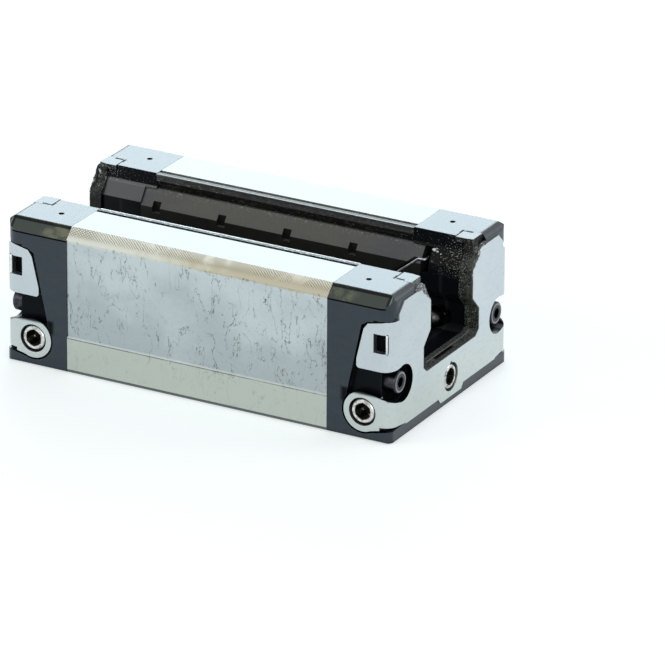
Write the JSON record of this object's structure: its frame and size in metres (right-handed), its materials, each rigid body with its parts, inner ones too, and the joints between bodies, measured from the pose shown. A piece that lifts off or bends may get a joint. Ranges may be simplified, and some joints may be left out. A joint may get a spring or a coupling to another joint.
{
  "type": "linear guide carriage",
  "caption": "Ball carriage of a profile rail guide: a steel saddle with plastic end caps, seals and recirculating ball rows that rides on a rail and carries a bolted table.",
  "frame": {"origin": "middle of the mounting face, which bolts to the moving table", "axes": "+X along the rail towards the end where the left leg's wire rises, +Y across the rail to that leg, +Z out of the open rail channel, so the carriage lies on its mounting face"},
  "size_m": [0.0862, 0.048, 0.03],
  "materials": {
    "body_steel": "ground",
    "raceway_steel": "ground and hardened",
    "ball_steel": "polished",
    "cap_plastic": "moulded satin",
    "retainer_plastic": "moulded satin",
    "tube_plastic": "moulded satin",
    "seal_rubber": "satin",
    "plate_steel": "rolled sheet",
    "strip_steel": "rolled strip",
    "spring_wire": "drawn",
    "screw_steel": "black oxide",
    "plug_steel": "bright plated"
  },
  "bodies": {
    "root": {"steel_body": "body_steel", "left_raceway_insert": "raceway_steel", "left_ball_retainer": "retainer_plastic", "left_retaining_wire": "spring_wire", "left_side_seal": "seal_rubber", "left_side_seal_strip": "strip_steel", "left_deck_row_balls": "ball_steel", "left_deck_return_tube": "tube_plastic", "left_lip_row_balls": "ball_steel", "left_lip_return_tube": "tube_plastic", "right_raceway_insert": "raceway_steel", "right_ball_retainer": "retainer_plastic", "right_retaining_wire": "spring_wire", "right_side_seal": "seal_rubber", "right_side_seal_strip": "strip_steel", "right_deck_row_balls": "ball_steel", "right_deck_return_tube": "tube_plastic", "right_lip_row_balls": "ball_steel", "right_lip_return_tube": "tube_plastic", "front_end_cap": "cap_plastic", "front_end_seal": "seal_rubber", "front_end_plate": "plate_steel", "front_port_plug": "plug_steel", "front_left_return_guide": "retainer_plastic", "front_left_cap_screw": "screw_steel", "front_left_side_port_plug": "plug_steel", "front_right_return_guide": "retainer_plastic", "front_right_cap_screw": "screw_steel", "front_right_side_port_plug": "plug_steel", "rear_end_cap": "cap_plastic", "rear_end_seal": "seal_rubber", "rear_end_plate": "plate_steel", "rear_port_plug": "plug_steel", "rear_left_return_guide": "retainer_plastic", "rear_left_cap_screw": "screw_steel", "rear_left_side_port_plug": "plug_steel", "rear_right_return_guide": "retainer_plastic", "rear_right_cap_screw": "screw_steel", "rear_right_side_port_plug": "plug_steel"}
  },
  "joints": []
}
